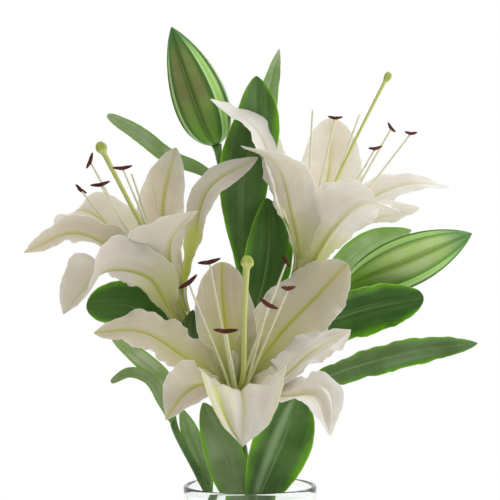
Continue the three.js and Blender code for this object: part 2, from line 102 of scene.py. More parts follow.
# ---- Growth plan: the same places as in the frame, above the rim measured from the mouth's centre ----
# Tepal rows: name, ring, width, roll, ruffle of the edges, bluntness, depth of the keel over the half
# width, how much painted shade darkens it and how far its green throat reaches, points beyond the throat.
# Stamen rows: filament's end, way of the anther or None where it has dropped.
# pistil_size and anther_size are shares of the full-grown sizes above.
FLOWERS = [
    {
        "name": "front",
        "pistil_size": 1.0,
        "anther_size": 1.0,
        "seat": (-9, -8, 49),
        "axis": (0.02, -0.6, 0.8),
        "first_turn": 112,
        "tepals": [
            ("back_left", INNER_RING, 46, 0, 2.2, 0.5, 0, 1.2, [(-9, 8, 67), (-12, 16, 95), (-12, 12, 118)]),
            ("back_right", OUTER_RING, 58, 0, 4.2, 0.6, 0, 0.9, [(31, 8, 63), (60, 16, 93), (82, 10, 117)]),
            ("right", INNER_RING, 40, 0, 3.6, 0.9, 0, 0.25, [(31, -34, 33), (54, -22, 52), (84, -4, 68)]),
            ("front_right", OUTER_RING, 42, 0, 3.4, 1.0, 0.15, 0.1,
             [(36, -58, 23), (57, -80, 25), (65, -90, -2)]),
            ("front", INNER_RING, 62, 0, 3.2, 1.15, 0.45, 0.25, [(3, -68, 27), (5, -92, 15), (4, -96, -9)]),
            ("front_left", OUTER_RING, 42, 0, 3.0, 1.0, 0.15, 0.9,
             [(-24, -54, 31), (-38, -74, 25), (-50, -80, 8)]),
            ("left", INNER_RING, 44, 0, 4.4, 0.8, 0, 1.0, [(-42, -26, 51), (-71, -34, 68), (-104, -38, 67)]),
        ],
        "pistil": [(4, -32, 36), (5, -42, 79), (7, -44, 123)],
        "first_stamen_turn": 320,
        "stamens": [
            ((22, -58, 88), (0.75, 0.45, -0.45)),
            ((37, -30, 99), (0.6, 0.8, 0)),
            ((36, -6, 118), (0.3, 0.8, -0.5)),
            ((-21, -12, 118), (0.97, 0.1, 0.2)),
            ((-36, -22, 103), (0.8, 0, 0.6)),
            ((-8, -76, 70), (1, 0, 0)),
        ],
    },
    {
        "name": "left",
        "pistil_size": 0.9,
        "anther_size": 0.86,
        "seat": (-48, 22, 114),
        "axis": (-0.4, -0.2, 0.9),
        "first_turn": 60,
        "tepals": [
            ("back_right", INNER_RING, 40, 0, 1.8, 0.75, 0, 0.55,
             [(-18, 16, 66), (-19, 20, 101), (-9, 12, 141)]),
            ("right", OUTER_RING, 29, 55, 1.4, 0.8, 0, 0.6, [(6, -13, 68), (17, -17, 108), (54, -16, 132)]),
            ("front", INNER_RING, 66, 0, 3.6, 0.45, 0, 0.55, [(-12, -30, 53), (-10, -44, 71), (6, -56, 90)]),
            ("front_left", OUTER_RING, 44, 12, 3.6, 0.7, 0.6, 0.45,
             [(-29, -42, 43), (-59, -54, 46), (-88, -58, 15)]),
            ("left", INNER_RING, 40, 50, 3.4, 0.9, 0, 0.8, [(-48, -18, 57), (-83, -26, 75), (-121, -28, 60)]),
            ("back_left", OUTER_RING, 46, 0, 2.6, 0.45, 0, 0.5,
             [(-54, 18, 74), (-84, 30, 93), (-105, 38, 80)]),
        ],
        "pistil": [(-16, -8, 47), (-42, -14, 96), (-66, -20, 143)],
        "first_stamen_turn": 20,
        "stamens": [
            ((-28, 2, 118), None),
            ((-42, -6, 120), None),
            ((-79, -20, 107), (0.45, 0.75, -0.4)),
            ((-71, -32, 128), (0.25, 0.5, 0.8)),
            ((-62, -48, 110), (0.97, 0, 0.2)),
            ((-47, -30, 123), (1, 0, 0.1)),
        ],
    },
    {
        "name": "right",
        "pistil_size": 0.6,
        "anther_size": 0.75,
        "seat": (34, 32, 142),
        "axis": (0.38, -0.15, 0.92),
        "first_turn": 108,
        "tepals": [
            ("back", INNER_RING, 52, 0, 2.6, 0.5, 0, 0.3, [(22, 18, 69), (29, 26, 105), (29, 22, 137)]),
            ("right_upper", OUTER_RING, 33, 0, 2.2, 0.9, 0, 0.1, [(53, 14, 69), (87, 18, 85), (121, 14, 83)]),
            ("right_lower", INNER_RING, 36, -50, 3.0, 0.8, 0, 0.1,
             [(50, -10, 53), (75, -12, 62), (95, -14, 66)]),
            ("front", OUTER_RING, 52, 0, 4.2, 0.65, 0, 0.05, [(30, -34, 52), (51, -48, 69), (76, -60, 62)]),
            ("front_left", INNER_RING, 50, 15, 2.6, 0.9, 0, 0.25,
             [(-2, -26, 60), (-14, -32, 98), (-41, -38, 112)]),
            ("back_left", OUTER_RING, 38, -15, 2.6, 0.8, 0, 0.1,
             [(-11, 4, 69), (-28, -12, 124), (-64, -24, 148)]),
        ],
        "pistil": [(17, -4, 53), (43, -10, 111), (72, -16, 169)],
        "first_stamen_turn": 340,
        "stamens": [
            ((73, -20, 126), (0.5, 0.7, -0.5)),
            ((89, -8, 123), (0.8, 0.6, 0)),
            ((51, 10, 139), None),
            ((32, 8, 136), (0.9, 0.4, 0)),
            ((14, -6, 141), None),
            ((60, -34, 110), (0.8, 0.5, 0.15)),
        ],
    },
]

STEMS = {
    "front": {"foot": (6, -24), "rise": [(0, -12, -85), (-3, 2, 8), (-6, 3, 33)]},
    "left": {
        "foot": (24, 0),
        "rise": [(-4, 4, -85), (-26, 10, -20), (-39, 14, 6), (-58, 22, 43), (-59, 25, 62), (-52, 26, 88)],
    },
    "right": {
        "foot": (-18, 16),
        "rise": [(0, 20, -80), (5, 27, -20), (6, 30, 5), (9, 36, 45), (15, 40, 85), (23, 38, 113)],
    },
}

# Stalks leave the right stem at the height given: name, height, points.
STALKS = [
    ("top", 84, [(-2, 50, 137), (-13, 56, 184), (-20, 58, 230), (-26, 51, 258)]),
    ("side", 82, [(31, 52, 107), (53, 58, 127), (72, 56, 146)]),
    ("small", 40, [(-20, 34, 62), (-36, 22, 88), (-42, 8, 108)]),
]

# Bud rows: tip, radius, share where it is widest, lean of its middle, turn of its ribs in degrees,
# paleness, which below 0 is painted shade that darkens the bud.
BUDS = {
    "top": ((-61, 44, 349), 21, 0.36, (1, 0, 0), -14, 0.1),
    "side": ((173, 50, 189), 20, 0.46, (-1, 0, -1), -4, 1.0),
    # The small bud's paleness below 0 paints it dark as painted shade.
    "small": ((-43, 4, 131), 8, 0.52, (0, 0, 0), 0, -0.6),
}

# Leaf rows: name, line that carries it, height on it, width, share where it is widest, bluntness, roll
# at root and tip, wave of its edges, paleness from 0 to 1, points beyond the root. Paleness is partly
# the leaf's own tone and partly painted light, raised on leaves that lie in shade.
LEAVES = [
    ("tall", "top", 148, 41, 0.62, 0.7, (0, 10), 1.0, 0.1,
     [(-6, 44, 195), (-4, 38, 238), (5, 34, 276), (5, 34, 310)]),
    ("crown", "top", 184, 19, 0.6, 0.8, (0, 30), 1.2, 0.7, [(5, 64, 255), (14, 62, 298), (23, 60, 334)]),
    ("centre", "top", 121, 38, 0.5, 0.7, (0, 15), 1.0, 0.05,
     [(12, 38, 159), (15, 35, 187), (13, 32, 216)]),
    ("high_left", "top", 227, 13, 0.6, 0.4, (0, 10), 1.2, 0.9,
     [(-41, 54, 240), (-62, 52, 248), (-86, 50, 266), (-111, 48, 281)]),
    ("broad_left", "left", 92, 40, 0.6, 0.5, (20, 20), 1.4, 0.05,
     [(-65, 30, 118), (-93, 26, 133), (-125, 24, 133)]),
    ("pale_left", "left", 56, 15, 0.5, 0.7, (20, 20), 1.0, 1.0,
     [(-66, 10, 78), (-84, 6, 95), (-105, 4, 111)]),
    ("curled_left", "left", 43, 10, 0.55, 0.35, (30, 30), 0.3, 0.65,
     [(-66, 6, 62), (-76, 2, 79), (-90, -2, 84), (-104, -4, 77)]),
    ("low_left", "left", -12, 17, 0.5, 0.7, (-20, 0), 0.6, 1.0,
     [(-37, 22, 14), (-46, 26, 37), (-53, 28, 55)]),
    ("low_front", "front", -24, 29, 0.5, 0.7, (0, 0), 0.8, 0.45,
     [(-14, -10, 8), (-22, -10, 32), (-35, -4, 62)]),
    ("low_right", "front", -28, 44, 0.62, 0.7, (0, 0), 1.0, 0.1,
     [(15, -16, 12), (26, -12, 38), (37, -4, 70)]),
    ("long_right", "right", 54, 24, 0.62, 0.7, (20, 20), 2.2, 0.2,
     [(55, 16, 78), (89, 10, 91), (128, 6, 101), (171, 2, 106)]),
    ("broad_right", "side", 108, 41, 0.55, 0.5, (20, 20), 2.4, 0.02,
     [(68, 34, 124), (98, 30, 133), (133, 28, 140)]),
    ("bright_right", "side", 127, 26, 0.5, 0.7, (0, 20), 0.8, 0.9,
     [(72, 82, 158), (96, 86, 181), (129, 84, 192)]),
]

# Creases of a blade: middle and half width over the half width of the blade, shares from and to, depth
# in mm, and how strongly a lime or pale line marks it. The line is partly the blade's own vein colour
# and partly painted light: lime along tepal edges and over the lower part of the left flower's right
# tepal is painted light coming through, and pale lines on the leaves' folds are partly painted highlight.
CREASES = {
    "front_flower_tepal_front": [
        (-1, 0.12, 0.5, 1, 0, 0.9), (1, 0.1, 0.5, 1, 0, 0.7), (-0.66, 0.11, 0.5, 1.1, -4.5, 0.9),
        (-0.38, 0.08, 0.55, 1.1, 2.5, 0.5), (0.22, 0.16, 0.5, 1, 4, 0), (0.6, 0.1, 0.45, 0.9, -3, 0),
    ],
    "front_flower_tepal_front_right": [
        (-0.15, 0.09, 0.6, 1.05, -2.5, 0), (0.2, 0.1, 0.55, 1, 3, 0), (0.55, 0.1, 0.6, 1, -3, 0),
    ],
    "front_flower_tepal_front_left": [(0.5, 0.16, 0.5, 1, 2.5, 0), (-0.45, 0.12, 0.55, 1, -2, 0)],
    "front_flower_tepal_right": [(0.45, 0.12, 0.4, 1, -3, 0.2), (-0.5, 0.15, 0.5, 1, 2.5, 0)],
    # Lime over its whole lower part: painted light coming through the tepal.
    "left_flower_tepal_right": [(0, 1.3, 0, 0.6, 0, 0.9)],
    "left_flower_tepal_front": [(0.95, 0.22, 0.1, 0.8, 0, 0.9), (0.5, 0.12, 0.2, 0.9, 2, 0.3)],
    "left_flower_tepal_front_left": [(-0.5, 0.14, 0.55, 1, 2.5, 0), (0.5, 0.14, 0.5, 1, -2.5, 0)],
    "right_flower_tepal_front_left": [(-0.95, 0.25, 0.15, 0.8, 0, 0.5)],
    "tall_leaf": [(0.12, 0.1, 0.1, 0.6, 0.8, 0.5)],
    "centre_leaf": [(-0.3, 0.12, 0.2, 0.9, 0.8, 0.1)],
    "low_right_leaf": [(0.3, 0.17, 0.2, 1, 2.4, 0.8)],
    "low_front_leaf": [(-0.3, 0.2, 0.1, 1, 1.5, 0.3)],
    "long_right_leaf": [(0.1, 0.14, 0.5, 1, 2.5, 0.25), (-0.6, 0.2, 0.55, 0.9, -1.5, 0.5)],
    "broad_right_leaf": [(-0.2, 0.2, 0.3, 1, 1.5, 0.2)],
}

SIDE_ON = np.array((0.0, 1.0, 0.0))
ASKEW = np.array((0.31, 0.95, 0.12))  # along no stem


# ---- Lines and frames ----
def unit(vectors):
    return vectors / np.linalg.norm(vectors, axis=-1, keepdims=True)


def from_rim(point):
    return np.array(point, float) + (0, 0, VASE_HEIGHT)


def turned(vectors, axes, angles):
    """Vectors turned about unit axes, each by its own angle in radians."""
    cos, sin = np.cos(angles)[:, None], np.sin(angles)[:, None]
    along = np.sum(axes * vectors, axis=1, keepdims=True) * axes
    return vectors * cos + np.cross(axes, vectors) * sin + along * (1 - cos)


class Line:
    """Smooth centripetal line through points, read by the share of its length."""

    def __init__(self, points):
        p = np.array(points, float)
        self.points = p
        p = np.vstack([2 * p[0] - p[1], p, 2 * p[-1] - p[-2]])
        t = np.linspace(0, 1, 120)[:, None]
        dense = []
        for i in range(1, len(p) - 2):
            p0, p1, p2, p3 = p[i - 1 : i + 3]
            d0, d1, d2 = (math.sqrt(np.linalg.norm(b - a)) for a, b in ((p0, p1), (p1, p2), (p2, p3)))
            m1 = ((p1 - p0) / d0 - (p2 - p0) / (d0 + d1) + (p2 - p1) / d1) * d1
            m2 = ((p2 - p1) / d1 - (p3 - p1) / (d1 + d2) + (p3 - p2) / d2) * d1
            dense.append(p1 + m1 * t + (3 * (p2 - p1) - 2 * m1 - m2) * t**2
                         + (2 * (p1 - p2) + m1 + m2) * t**3)
        dense = np.vstack(dense)
        keep = np.r_[True, np.linalg.norm(np.diff(dense, axis=0), axis=1) > 1e-9]
        self.dense = dense[keep]
        steps = np.linalg.norm(np.diff(self.dense, axis=0), axis=1)
        self.run = np.r_[0, np.cumsum(steps)]
        self.length = self.run[-1]

    def at(self, shares):
        s = np.clip(shares, 0, 1) * self.length
        return np.stack([np.interp(s, self.run, self.dense[:, k]) for k in range(3)], axis=1)

    def along(self, shares):
        nudge = 0.004
        return unit(self.at(np.asarray(shares) + nudge) - self.at(np.asarray(shares) - nudge))

    def point_at_height(self, height):
        return self.dense[np.argmin(abs(self.dense[:, 2] - height))]


def creases_of(node, share, u):
    """Lift and marking of a blade's creases over its grid."""
    lift = np.zeros(np.broadcast(share, u).shape)
    mark = lift.copy()
    for middle, reach, first, last, depth, strength in CREASES.get(node, ()):
        ridge = np.exp(-(((u - middle) / reach) ** 2)) * ramp_of(share, first - 0.1, first + 0.1)
        ridge = ridge * (1 - ramp_of(share, last - 0.15, last + 0.01))
        lift += depth * ridge
        mark = np.maximum(mark, strength * ridge)
    return lift, mark


def ramp_of(value, low, high):
    t = np.clip((value - low) / (high - low), 0, 1)
    return t * t * (3 - 2 * t)


def swelling(share, widest, blunt):
    """Outline that rises from 0 to 1 at the widest share and falls to 0 at the tip."""
    rise = blunt * widest / (1 - widest)
    peak = widest**rise * (1 - widest) ** blunt
    return share**rise * (1 - share) ** blunt / peak


chance = np.random.default_rng(7)


def scallops(mm_along):
    """Two runs of uneven shallow scallops, from 0 to 1, one for each edge of a blade."""
    runs = []
    for _ in range(2):
        long, short = chance.uniform(13, 19), chance.uniform(6, 9)
        first, second = chance.uniform(0, math.pi, 2)
        wave = 0.65 * abs(np.sin(math.pi * mm_along / long + first))
        runs.append(1 - wave - 0.35 * abs(np.sin(math.pi * mm_along / short + second)))
    return np.array(runs)


# ---- Meshes ----
def closed_piece(name, shells, node, finish):
    """One object of closed shells that stands for a node of the frame.

    A shell is (points in mm, faces, marks, finish index); marks are vectors per point that the
    finishes read: lie is (across from -1 to 1, share of the length, 0 on the outer face and from 1 to 2
    on the inner, the more the stronger a crease marks it), and size is (mm across, mm along, tone).
    """
    points = np.vstack([shell[0] for shell in shells]) * MM
    faces, which, lies, sizes, start = [], [], [], [], 0
    for shell_points, shell_faces, marks, finish_index in shells:
        faces += [[start + i for i in face] for face in shell_faces]
        which += [finish_index] * len(shell_faces)
        lies.append(marks[0])
        sizes.append(marks[1])
        start += len(shell_points)
    mesh = bpy.data.meshes.new(name)
    mesh.from_pydata(points.tolist(), [], faces)
    for key, values in (("lie", np.vstack(lies)), ("size", np.vstack(sizes))):
        layer = mesh.attributes.new(key, "FLOAT_VECTOR", "POINT")
        layer.data.foreach_set("vector", values.astype(np.float32).ravel())
    for material in finish:
        mesh.materials.append(material)
    mesh.polygons.foreach_set("material_index", which)
    mesh.polygons.foreach_set("use_smooth", [True] * len(faces))
    mesh.update()
    piece = bpy.data.objects.new(name, mesh)
    bpy.context.scene.collection.objects.link(piece)
    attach(piece, "root")
    if node:
        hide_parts(node)
    return piece


def sheet_shell(node, line, shares, across, width_at, lift_at, thickness_at, tone, notch):
    """Thin closed blade: an upper and a lower face that share their rim. Its outline goes in and out by
    about a fifth of notch, in mm, each side on its own."""
    u = np.sin(np.linspace(-1, 1, 29) * math.pi / 2)
    centre, along = line.at(shares), line.along(shares)
    side = unit(across - np.sum(across * along, axis=1, keepdims=True) * along)
    face = np.cross(along, side)
    half = width_at(shares, centre) / 2
    mm_along = np.repeat((shares * line.length)[:, None], len(u), axis=1)
    outline = notch * 0.35 * scallops(shares * line.length) * np.sqrt(np.clip(half / 12, 0, 1))[None]
    inwards = np.where(u[None, :] < 0, outline[0][:, None], outline[1][:, None]) * abs(u[None, :]) ** 3
    mm_across = u[None, :] * half[:, None] - np.sign(u)[None, :] * inwards
    crease, mark = creases_of(node, shares[:, None], u[None, :])
    lift = crease * np.clip(half / 8, 0, 1)[:, None]
    lift = lift + lift_at(shares[:, None], u[None, :], half[:, None], centre, mm_along)
    grid = centre[:, None] + side[:, None] * mm_across[..., None] + face[:, None] * lift[..., None]
    normal = unit(np.cross(np.gradient(grid, axis=0), np.gradient(grid, axis=1)) + 1e-12)
    thick = thickness_at(shares[:, None], u[None, :])
    thick[:, 0] = thick[:, -1] = 0
    thick[0] = thick[-1] = 0
    upper = grid + normal * thick[..., None] / 2
    lower = grid - normal * thick[..., None] / 2
    rows, columns = thick.shape
    index_up = np.arange(rows * columns).reshape(rows, columns)
    index_low = index_up.copy()
    inner = (slice(1, rows - 1), slice(1, columns - 1))
    index_low[inner] = rows * columns + np.arange((rows - 2) * (columns - 2)).reshape(rows - 2, columns - 2)
    points = np.vstack([upper.reshape(-1, 3), lower[inner].reshape(-1, 3)])
    faces = []
    for r in range(rows - 1):
        for c in range(columns - 1):
            a = index_up[r, c], index_up[r + 1, c], index_up[r + 1, c + 1], index_up[r, c + 1]
            b = index_low[r, c], index_low[r, c + 1], index_low[r + 1, c + 1], index_low[r + 1, c]
            # A corner has three points on the shared rim, so it is split from the rim to the inner point:
            # split the other way, both faces would hold the same triangle.
            at_corner = r in (0, rows - 2) and c in (0, columns - 2)
            k = 0 if (r == 0) == (c == 0) else 1
            for quad in (a, b):
                halves = [quad[k:k + 3], (quad[k + 2], quad[(k + 3) % 4], quad[k])]
                faces += halves if at_corner else [quad]
    faces = [[int(i) for i in face] for face in faces]
    lie = np.stack([np.broadcast_to(u, thick.shape), np.broadcast_to(shares[:, None], thick.shape),
                    1 + mark], axis=2)
    size = np.stack([mm_across, mm_along, np.full_like(thick, tone)], axis=2)
    low_lie = lie.copy()
    low_lie[..., 2] = 0
    marks = (np.vstack([lie.reshape(-1, 3), low_lie[inner].reshape(-1, 3)]),
             np.vstack([size.reshape(-1, 3), size[inner].reshape(-1, 3)]))
    return points, faces, marks, 0


def round_shell(line, shares, radius_at, sides, tone=0.0, finish=0, turn=0.0, facing=None):
    """Closed round shell along a line: radius_at(shares, angles) gives its section."""
    centre, along = line.at(shares), line.along(shares)
    start = ASKEW if facing is None else np.array(facing, float)
    across = np.cross(start, along[0]) if facing is None else start
    frames = []
    for way in along:
        across = unit(across - np.dot(across, way) * way)
        frames.append((across, np.cross(way, across)))
    angles = np.arange(sides) / sides * 2 * math.pi
    radius = radius_at(shares[:, None], angles[None, :]) * np.ones((len(shares), sides))
    first = np.array([f[0] for f in frames])[:, None]
    second = np.array([f[1] for f in frames])[:, None]
    spin = angles + math.radians(turn)
    rings = centre[:, None] + radius[..., None] * (
        first * np.cos(spin)[None, :, None] + second * np.sin(spin)[None, :, None]
    )
    points = np.vstack([rings.reshape(-1, 3), centre[0], centre[-1]])
    faces = []
    rows = len(shares)
    for r in range(rows - 1):
        for c in range(sides):
            d = (c + 1) % sides
            faces.append([r * sides + c, r * sides + d, (r + 1) * sides + d, (r + 1) * sides + c])
    low, high = rows * sides, rows * sides + 1
    for c in range(sides):
        d = (c + 1) % sides
        faces.append([low, d, c])
        faces.append([high, (rows - 1) * sides + c, (rows - 1) * sides + d])
    lie = np.stack([np.broadcast_to(angles / (2 * math.pi), radius.shape),
                    np.broadcast_to(shares[:, None], radius.shape), np.ones_like(radius)], axis=2)
    size = np.stack([radius * angles[None, :], np.broadcast_to(shares[:, None] * line.length, radius.shape),
                     np.full_like(radius, tone)], axis=2)
    ends_lie = np.array([[0, shares[0], 1], [0, shares[-1], 1]])
    ends_size = np.array([[0, 0, tone], [0, line.length, tone]])
    marks = (np.vstack([lie.reshape(-1, 3), ends_lie]), np.vstack([size.reshape(-1, 3), ends_size]))
    return points, faces, marks, finish


def lathe_shell(profile, sides=96):
    """Closed shell turned from a profile of (radius, height) that starts and ends on the axis."""
    profile = np.array(profile, float)
    angles = np.arange(sides) / sides * 2 * math.pi
    rings = np.stack([profile[1:-1, 0:1] * np.cos(angles), profile[1:-1, 0:1] * np.sin(angles),
                      np.repeat(profile[1:-1, 1:2], sides, axis=1)], axis=2)
    points = np.vstack([rings.reshape(-1, 3), (0, 0, profile[0, 1]), (0, 0, profile[-1, 1])])
    rows = len(profile) - 2
    faces = []
    for r in range(rows - 1):
        for c in range(sides):
            d = (c + 1) % sides
            faces.append([r * sides + c, r * sides + d, (r + 1) * sides + d, (r + 1) * sides + c])
    for c in range(sides):
        d = (c + 1) % sides
        faces.append([rows * sides, d, c])
        faces.append([rows * sides + 1, (rows - 1) * sides + c, (rows - 1) * sides + d])
    blank = np.zeros_like(points)
    return points, faces, (blank, blank), 0


# ---- Finishes ----
def colour(hex_text):
    """sRGB hex to linear RGBA."""
    parts = [int(hex_text[i : i + 2], 16) / 255 for i in (1, 3, 5)]
    return (*[p / 12.92 if p <= 0.04045 else ((p + 0.055) / 1.055) ** 2.4 for p in parts], 1)


def add(tree, kind, settings):
    """Adds a node. A setting is a property, a socket's value, or an output to link to that socket."""
    node = tree.nodes.new("ShaderNode" + kind)
    for key, value in settings.items():
        if isinstance(key, str) and hasattr(node, key):
            setattr(node, key, value)
        elif isinstance(value, bpy.types.NodeSocket):
            tree.links.new(value, node.inputs[key])
        else:
            node.inputs[key].default_value = value
    return node


def new_finish(name):
    material = bpy.data.materials.new(name)
    material.use_nodes = True
    tree = material.node_tree
    tree.nodes.clear()
    return material, tree


def marks_of(tree):
    """Sockets (across, share, inner face and creases) and (mm across, mm along, tone)."""
    read = []
    for key in ("lie", "size"):
        attribute = add(tree, "Attribute", {"attribute_name": key})
        read.append(add(tree, "SeparateXYZ", {0: attribute.outputs["Vector"]}).outputs)
    return read


def sum_of(tree, operation, a, b=0.0, c=0.0):
    return add(tree, "Math", {"operation": operation, 0: a, 1: b, 2: c}).outputs[0]


def ramp(tree, value, low, high, bottom=0.0, top=1.0):
    """Smooth step of a value between low and high."""
    settings = {"interpolation_type": "SMOOTHSTEP", 0: value, 1: low, 2: high, 3: bottom, 4: top}
    return add(tree, "MapRange", settings).outputs[0]


def blend_colours(tree, factor, below, above):
    settings = {"data_type": "RGBA", 0: factor, 6: below, 7: above}
    return add(tree, "Mix", settings).outputs[2]


def streaks_along(tree, size, across_mm, along_mm):
    """Uneven streaks that run along a blade, from the marks of its place in mm."""
    x = sum_of(tree, "MULTIPLY", size[0], 1 / across_mm)
    y = sum_of(tree, "MULTIPLY", size[1], 1 / along_mm)
    z = sum_of(tree, "MULTIPLY", size[2], 37.0)
    place = add(tree, "CombineXYZ", {0: x, 1: y, 2: z}).outputs[0]
    return add(tree, "TexNoise", {"Vector": place, "Scale": 1.0, "Detail": 2.5}).outputs[0]


def petal_finish():
    """Lily tepal: waxy white skin over soft pulp, ribbed lengthwise. Light sinks in and comes through
    it, the rib and the throat are yellow-green, and the gloss is broad and weak. Painted shade darkens
    the tepals that sit in shade and carries the throat's green further up them, a thin painted
    highlight runs along the edge, and lime on some edges and creases is painted light coming through."""
    material, tree = new_finish("fresh_lily_petal")
    lie, size = marks_of(tree)
    across_mm = sum_of(tree, "ABSOLUTE", size[0])
    edge = sum_of(tree, "ABSOLUTE", lie[0])
    place = add(tree, "TexCoord", {}).outputs["Object"]
    clouds = add(tree, "TexNoise", {"Vector": place, "Scale": 1 / (20 * MM), "Detail": 3.0}).outputs[0]
    white = blend_colours(tree, ramp(tree, clouds, 0.35, 0.65), colour("#f6f1e8"), colour("#eee2dc"))
    outer = blend_colours(tree, lie[2], colour("#d3dc92"), white)
    skin = blend_colours(tree, ramp(tree, lie[1], 0.25, 0.6), outer, white)
    # Painted shade: the tepal's tone darkens it towards grey-beige, most on the tepals that sit in shade.
    shade = sum_of(tree, "MULTIPLY", size[2], 0.8)
    skin = blend_colours(tree, shade, skin, colour("#c3b9a7"))
    pleats = streaks_along(tree, size, 3.2, 70)
    skin = blend_colours(tree, ramp(tree, pleats, 0.35, 0.7, 0.0, 0.3), skin, colour("#dcd3bd"))
    middle = ramp(tree, edge, 0.15, 0.95, 1.0, 0.25)
    # The throat's yellow-green is the tepal's own; painted shade carries it further up tepals with a high
    # tone, and the dark olive deep in the cup is partly painted shade.
    reach = sum_of(tree, "MULTIPLY_ADD", size[2], -0.4, lie[1])
    throat = sum_of(tree, "MULTIPLY", ramp(tree, reach, -0.1, 0.42, 0.9, 0.0), middle)
    skin = blend_colours(tree, throat, skin, colour("#bfc078"))
    deep = ramp(tree, reach, -0.28, 0.12, 0.92, 0.0)
    skin = blend_colours(tree, deep, skin, colour("#76832f"))
    rib_width = ramp(tree, across_mm, 0.5, 3.2, 1.0, 0.0)
    rib_run = ramp(tree, reach, 0.1, 1.0, 0.95, 0.0)
    rib = sum_of(tree, "MULTIPLY", rib_width, rib_run)
    skin = blend_colours(tree, rib, skin, colour("#bcc05c"))
    line = sum_of(tree, "MULTIPLY", ramp(tree, across_mm, 0.15, 0.7, 0.7, 0.0), rib_run)
    skin = blend_colours(tree, line, skin, colour("#94974a"))
    # Crease lines: lime rib lines are the tepal's own colour; lime on edges and over the left flower's right
    # tepal is painted light coming through.
    crease = ramp(tree, lie[2], 1.05, 1.9, 0.0, 0.9)
    skin = blend_colours(tree, crease, skin, colour("#d0dc7c"))
    # Painted highlight: a thin near-white rim along the tepal's edge, standing in for light coming through
    # it.
    rim = ramp(tree, edge, 0.965, 0.995, 0.0, 0.8)
    skin = blend_colours(tree, rim, skin, colour("#fffdf4"))
    grain = add(tree, "TexNoise", {"Vector": place, "Scale": 1 / (1.6 * MM), "Detail": 2.0}).outputs[0]
    fine = streaks_along(tree, size, 1.1, 40)
    height = sum_of(tree, "ADD", sum_of(tree, "MULTIPLY", fine, 0.5), sum_of(tree, "MULTIPLY", grain, 0.12))
    bump = add(tree, "Bump", {"Strength": 0.5, "Distance": 1.0 * MM, "Height": height}).outputs[0]
    shader = add(tree, "BsdfPrincipled", {
        "Base Color": skin, "Roughness": 0.48, "Specular IOR Level": 0.35, "IOR": 1.42, "Normal": bump,
        "Subsurface Weight": 0.7, "Subsurface Radius": (1.0, 0.92, 0.75), "Subsurface Scale": 2.2 * MM,
        "Sheen Weight": 0.1, "Sheen Roughness": 0.5,
    })
    add(tree, "OutputMaterial", {0: shader.outputs[0]})
    return material


def leaf_finish():
    """Lily leaf: smooth waxed green skin over parallel veins, with long paler streaks. Light comes
    through it, most of all at the thin edge, and the edge also carries a painted yellow-green glow and
    a painted lime rim. Its paleness is partly painted light on leaves that lie in shade, and pale lines
    on its folds are partly painted highlight."""
    material, tree = new_finish("waxed_lily_leaf")
    lie, size = marks_of(tree)
    across_mm = sum_of(tree, "ABSOLUTE", size[0])
    edge = sum_of(tree, "ABSOLUTE", lie[0])
    place = add(tree, "TexCoord", {}).outputs["Object"]
    clouds = add(tree, "TexNoise", {"Vector": place, "Scale": 1 / (22 * MM), "Detail": 3.0}).outputs[0]
    deep = blend_colours(tree, ramp(tree, clouds, 0.3, 0.7), colour("#325f12"), colour("#4c7f26"))
    # Paleness is partly the leaf's own paler green and partly painted light that brightens leaves lying in
    # shade.
    pale = blend_colours(tree, ramp(tree, clouds, 0.3, 0.7), colour("#b9d58e"), colour("#eaf5d6"))
    skin = blend_colours(tree, size[2], deep, pale)
    bands = streaks_along(tree, size, 7.0, 110)
    skin = blend_colours(tree, ramp(tree, bands, 0.5, 0.72, 0.0, 0.45), skin, colour("#8db070"))
    veins = streaks_along(tree, size, 1.0, 60)
    skin = blend_colours(tree, ramp(tree, veins, 0.45, 0.7, 0.0, 0.25), skin, colour("#7da650"))
    rib_run = ramp(tree, lie[1], 0.45, 0.9, 0.45, 0.0)
    rib = sum_of(tree, "MULTIPLY", ramp(tree, across_mm, 0.3, 1.1, 1.0, 0.0), rib_run)
    skin = blend_colours(tree, rib, skin, colour("#a9c98a"))
    # Pale crease lines are partly painted highlight, where a fold catches the light.
    crease = ramp(tree, lie[2], 1.05, 1.9, 0.0, 0.9)
    skin = blend_colours(tree, crease, skin, colour("#a3c090"))
    # Painted light: the edge glows yellow-green in patches and a lime rim runs along it, standing in for
    # light coming through the thin edge.
    patchy = ramp(tree, clouds, 0.35, 0.65, 0.25, 1.0)
    glow = sum_of(tree, "MULTIPLY", ramp(tree, edge, 0.6, 0.97, 0.0, 0.95), patchy)
    skin = blend_colours(tree, glow, skin, colour("#7cc518"))
    rim = ramp(tree, edge, 0.94, 0.985, 0.0, 0.9)
    skin = blend_colours(tree, rim, skin, colour("#c0e84a"))
    height = sum_of(tree, "MULTIPLY", veins, 0.8)
    bump = add(tree, "Bump", {"Strength": 0.45, "Distance": 1.0 * MM, "Height": height}).outputs[0]
    skin_shader = add(tree, "BsdfPrincipled", {
        "Base Color": skin, "Roughness": 0.34, "Specular IOR Level": 0.5, "IOR": 1.45, "Normal": bump,
        "Subsurface Weight": 0.15, "Subsurface Radius": (0.5, 1.0, 0.2), "Subsurface Scale": 1.2 * MM,
    }).outputs[0]
    # The translucent colour follows the painted glow's mask.
    through = blend_colours(tree, glow, colour("#6ab012"), colour("#b4f020"))
    through_shader = add(tree, "BsdfTranslucent", {"Color": through, "Normal": bump}).outputs[0]
    shader = add(tree, "MixShader", {0: 0.22, 1: skin_shader, 2: through_shader})
    add(tree, "OutputMaterial", {0: shader.outputs[0]})
    return material


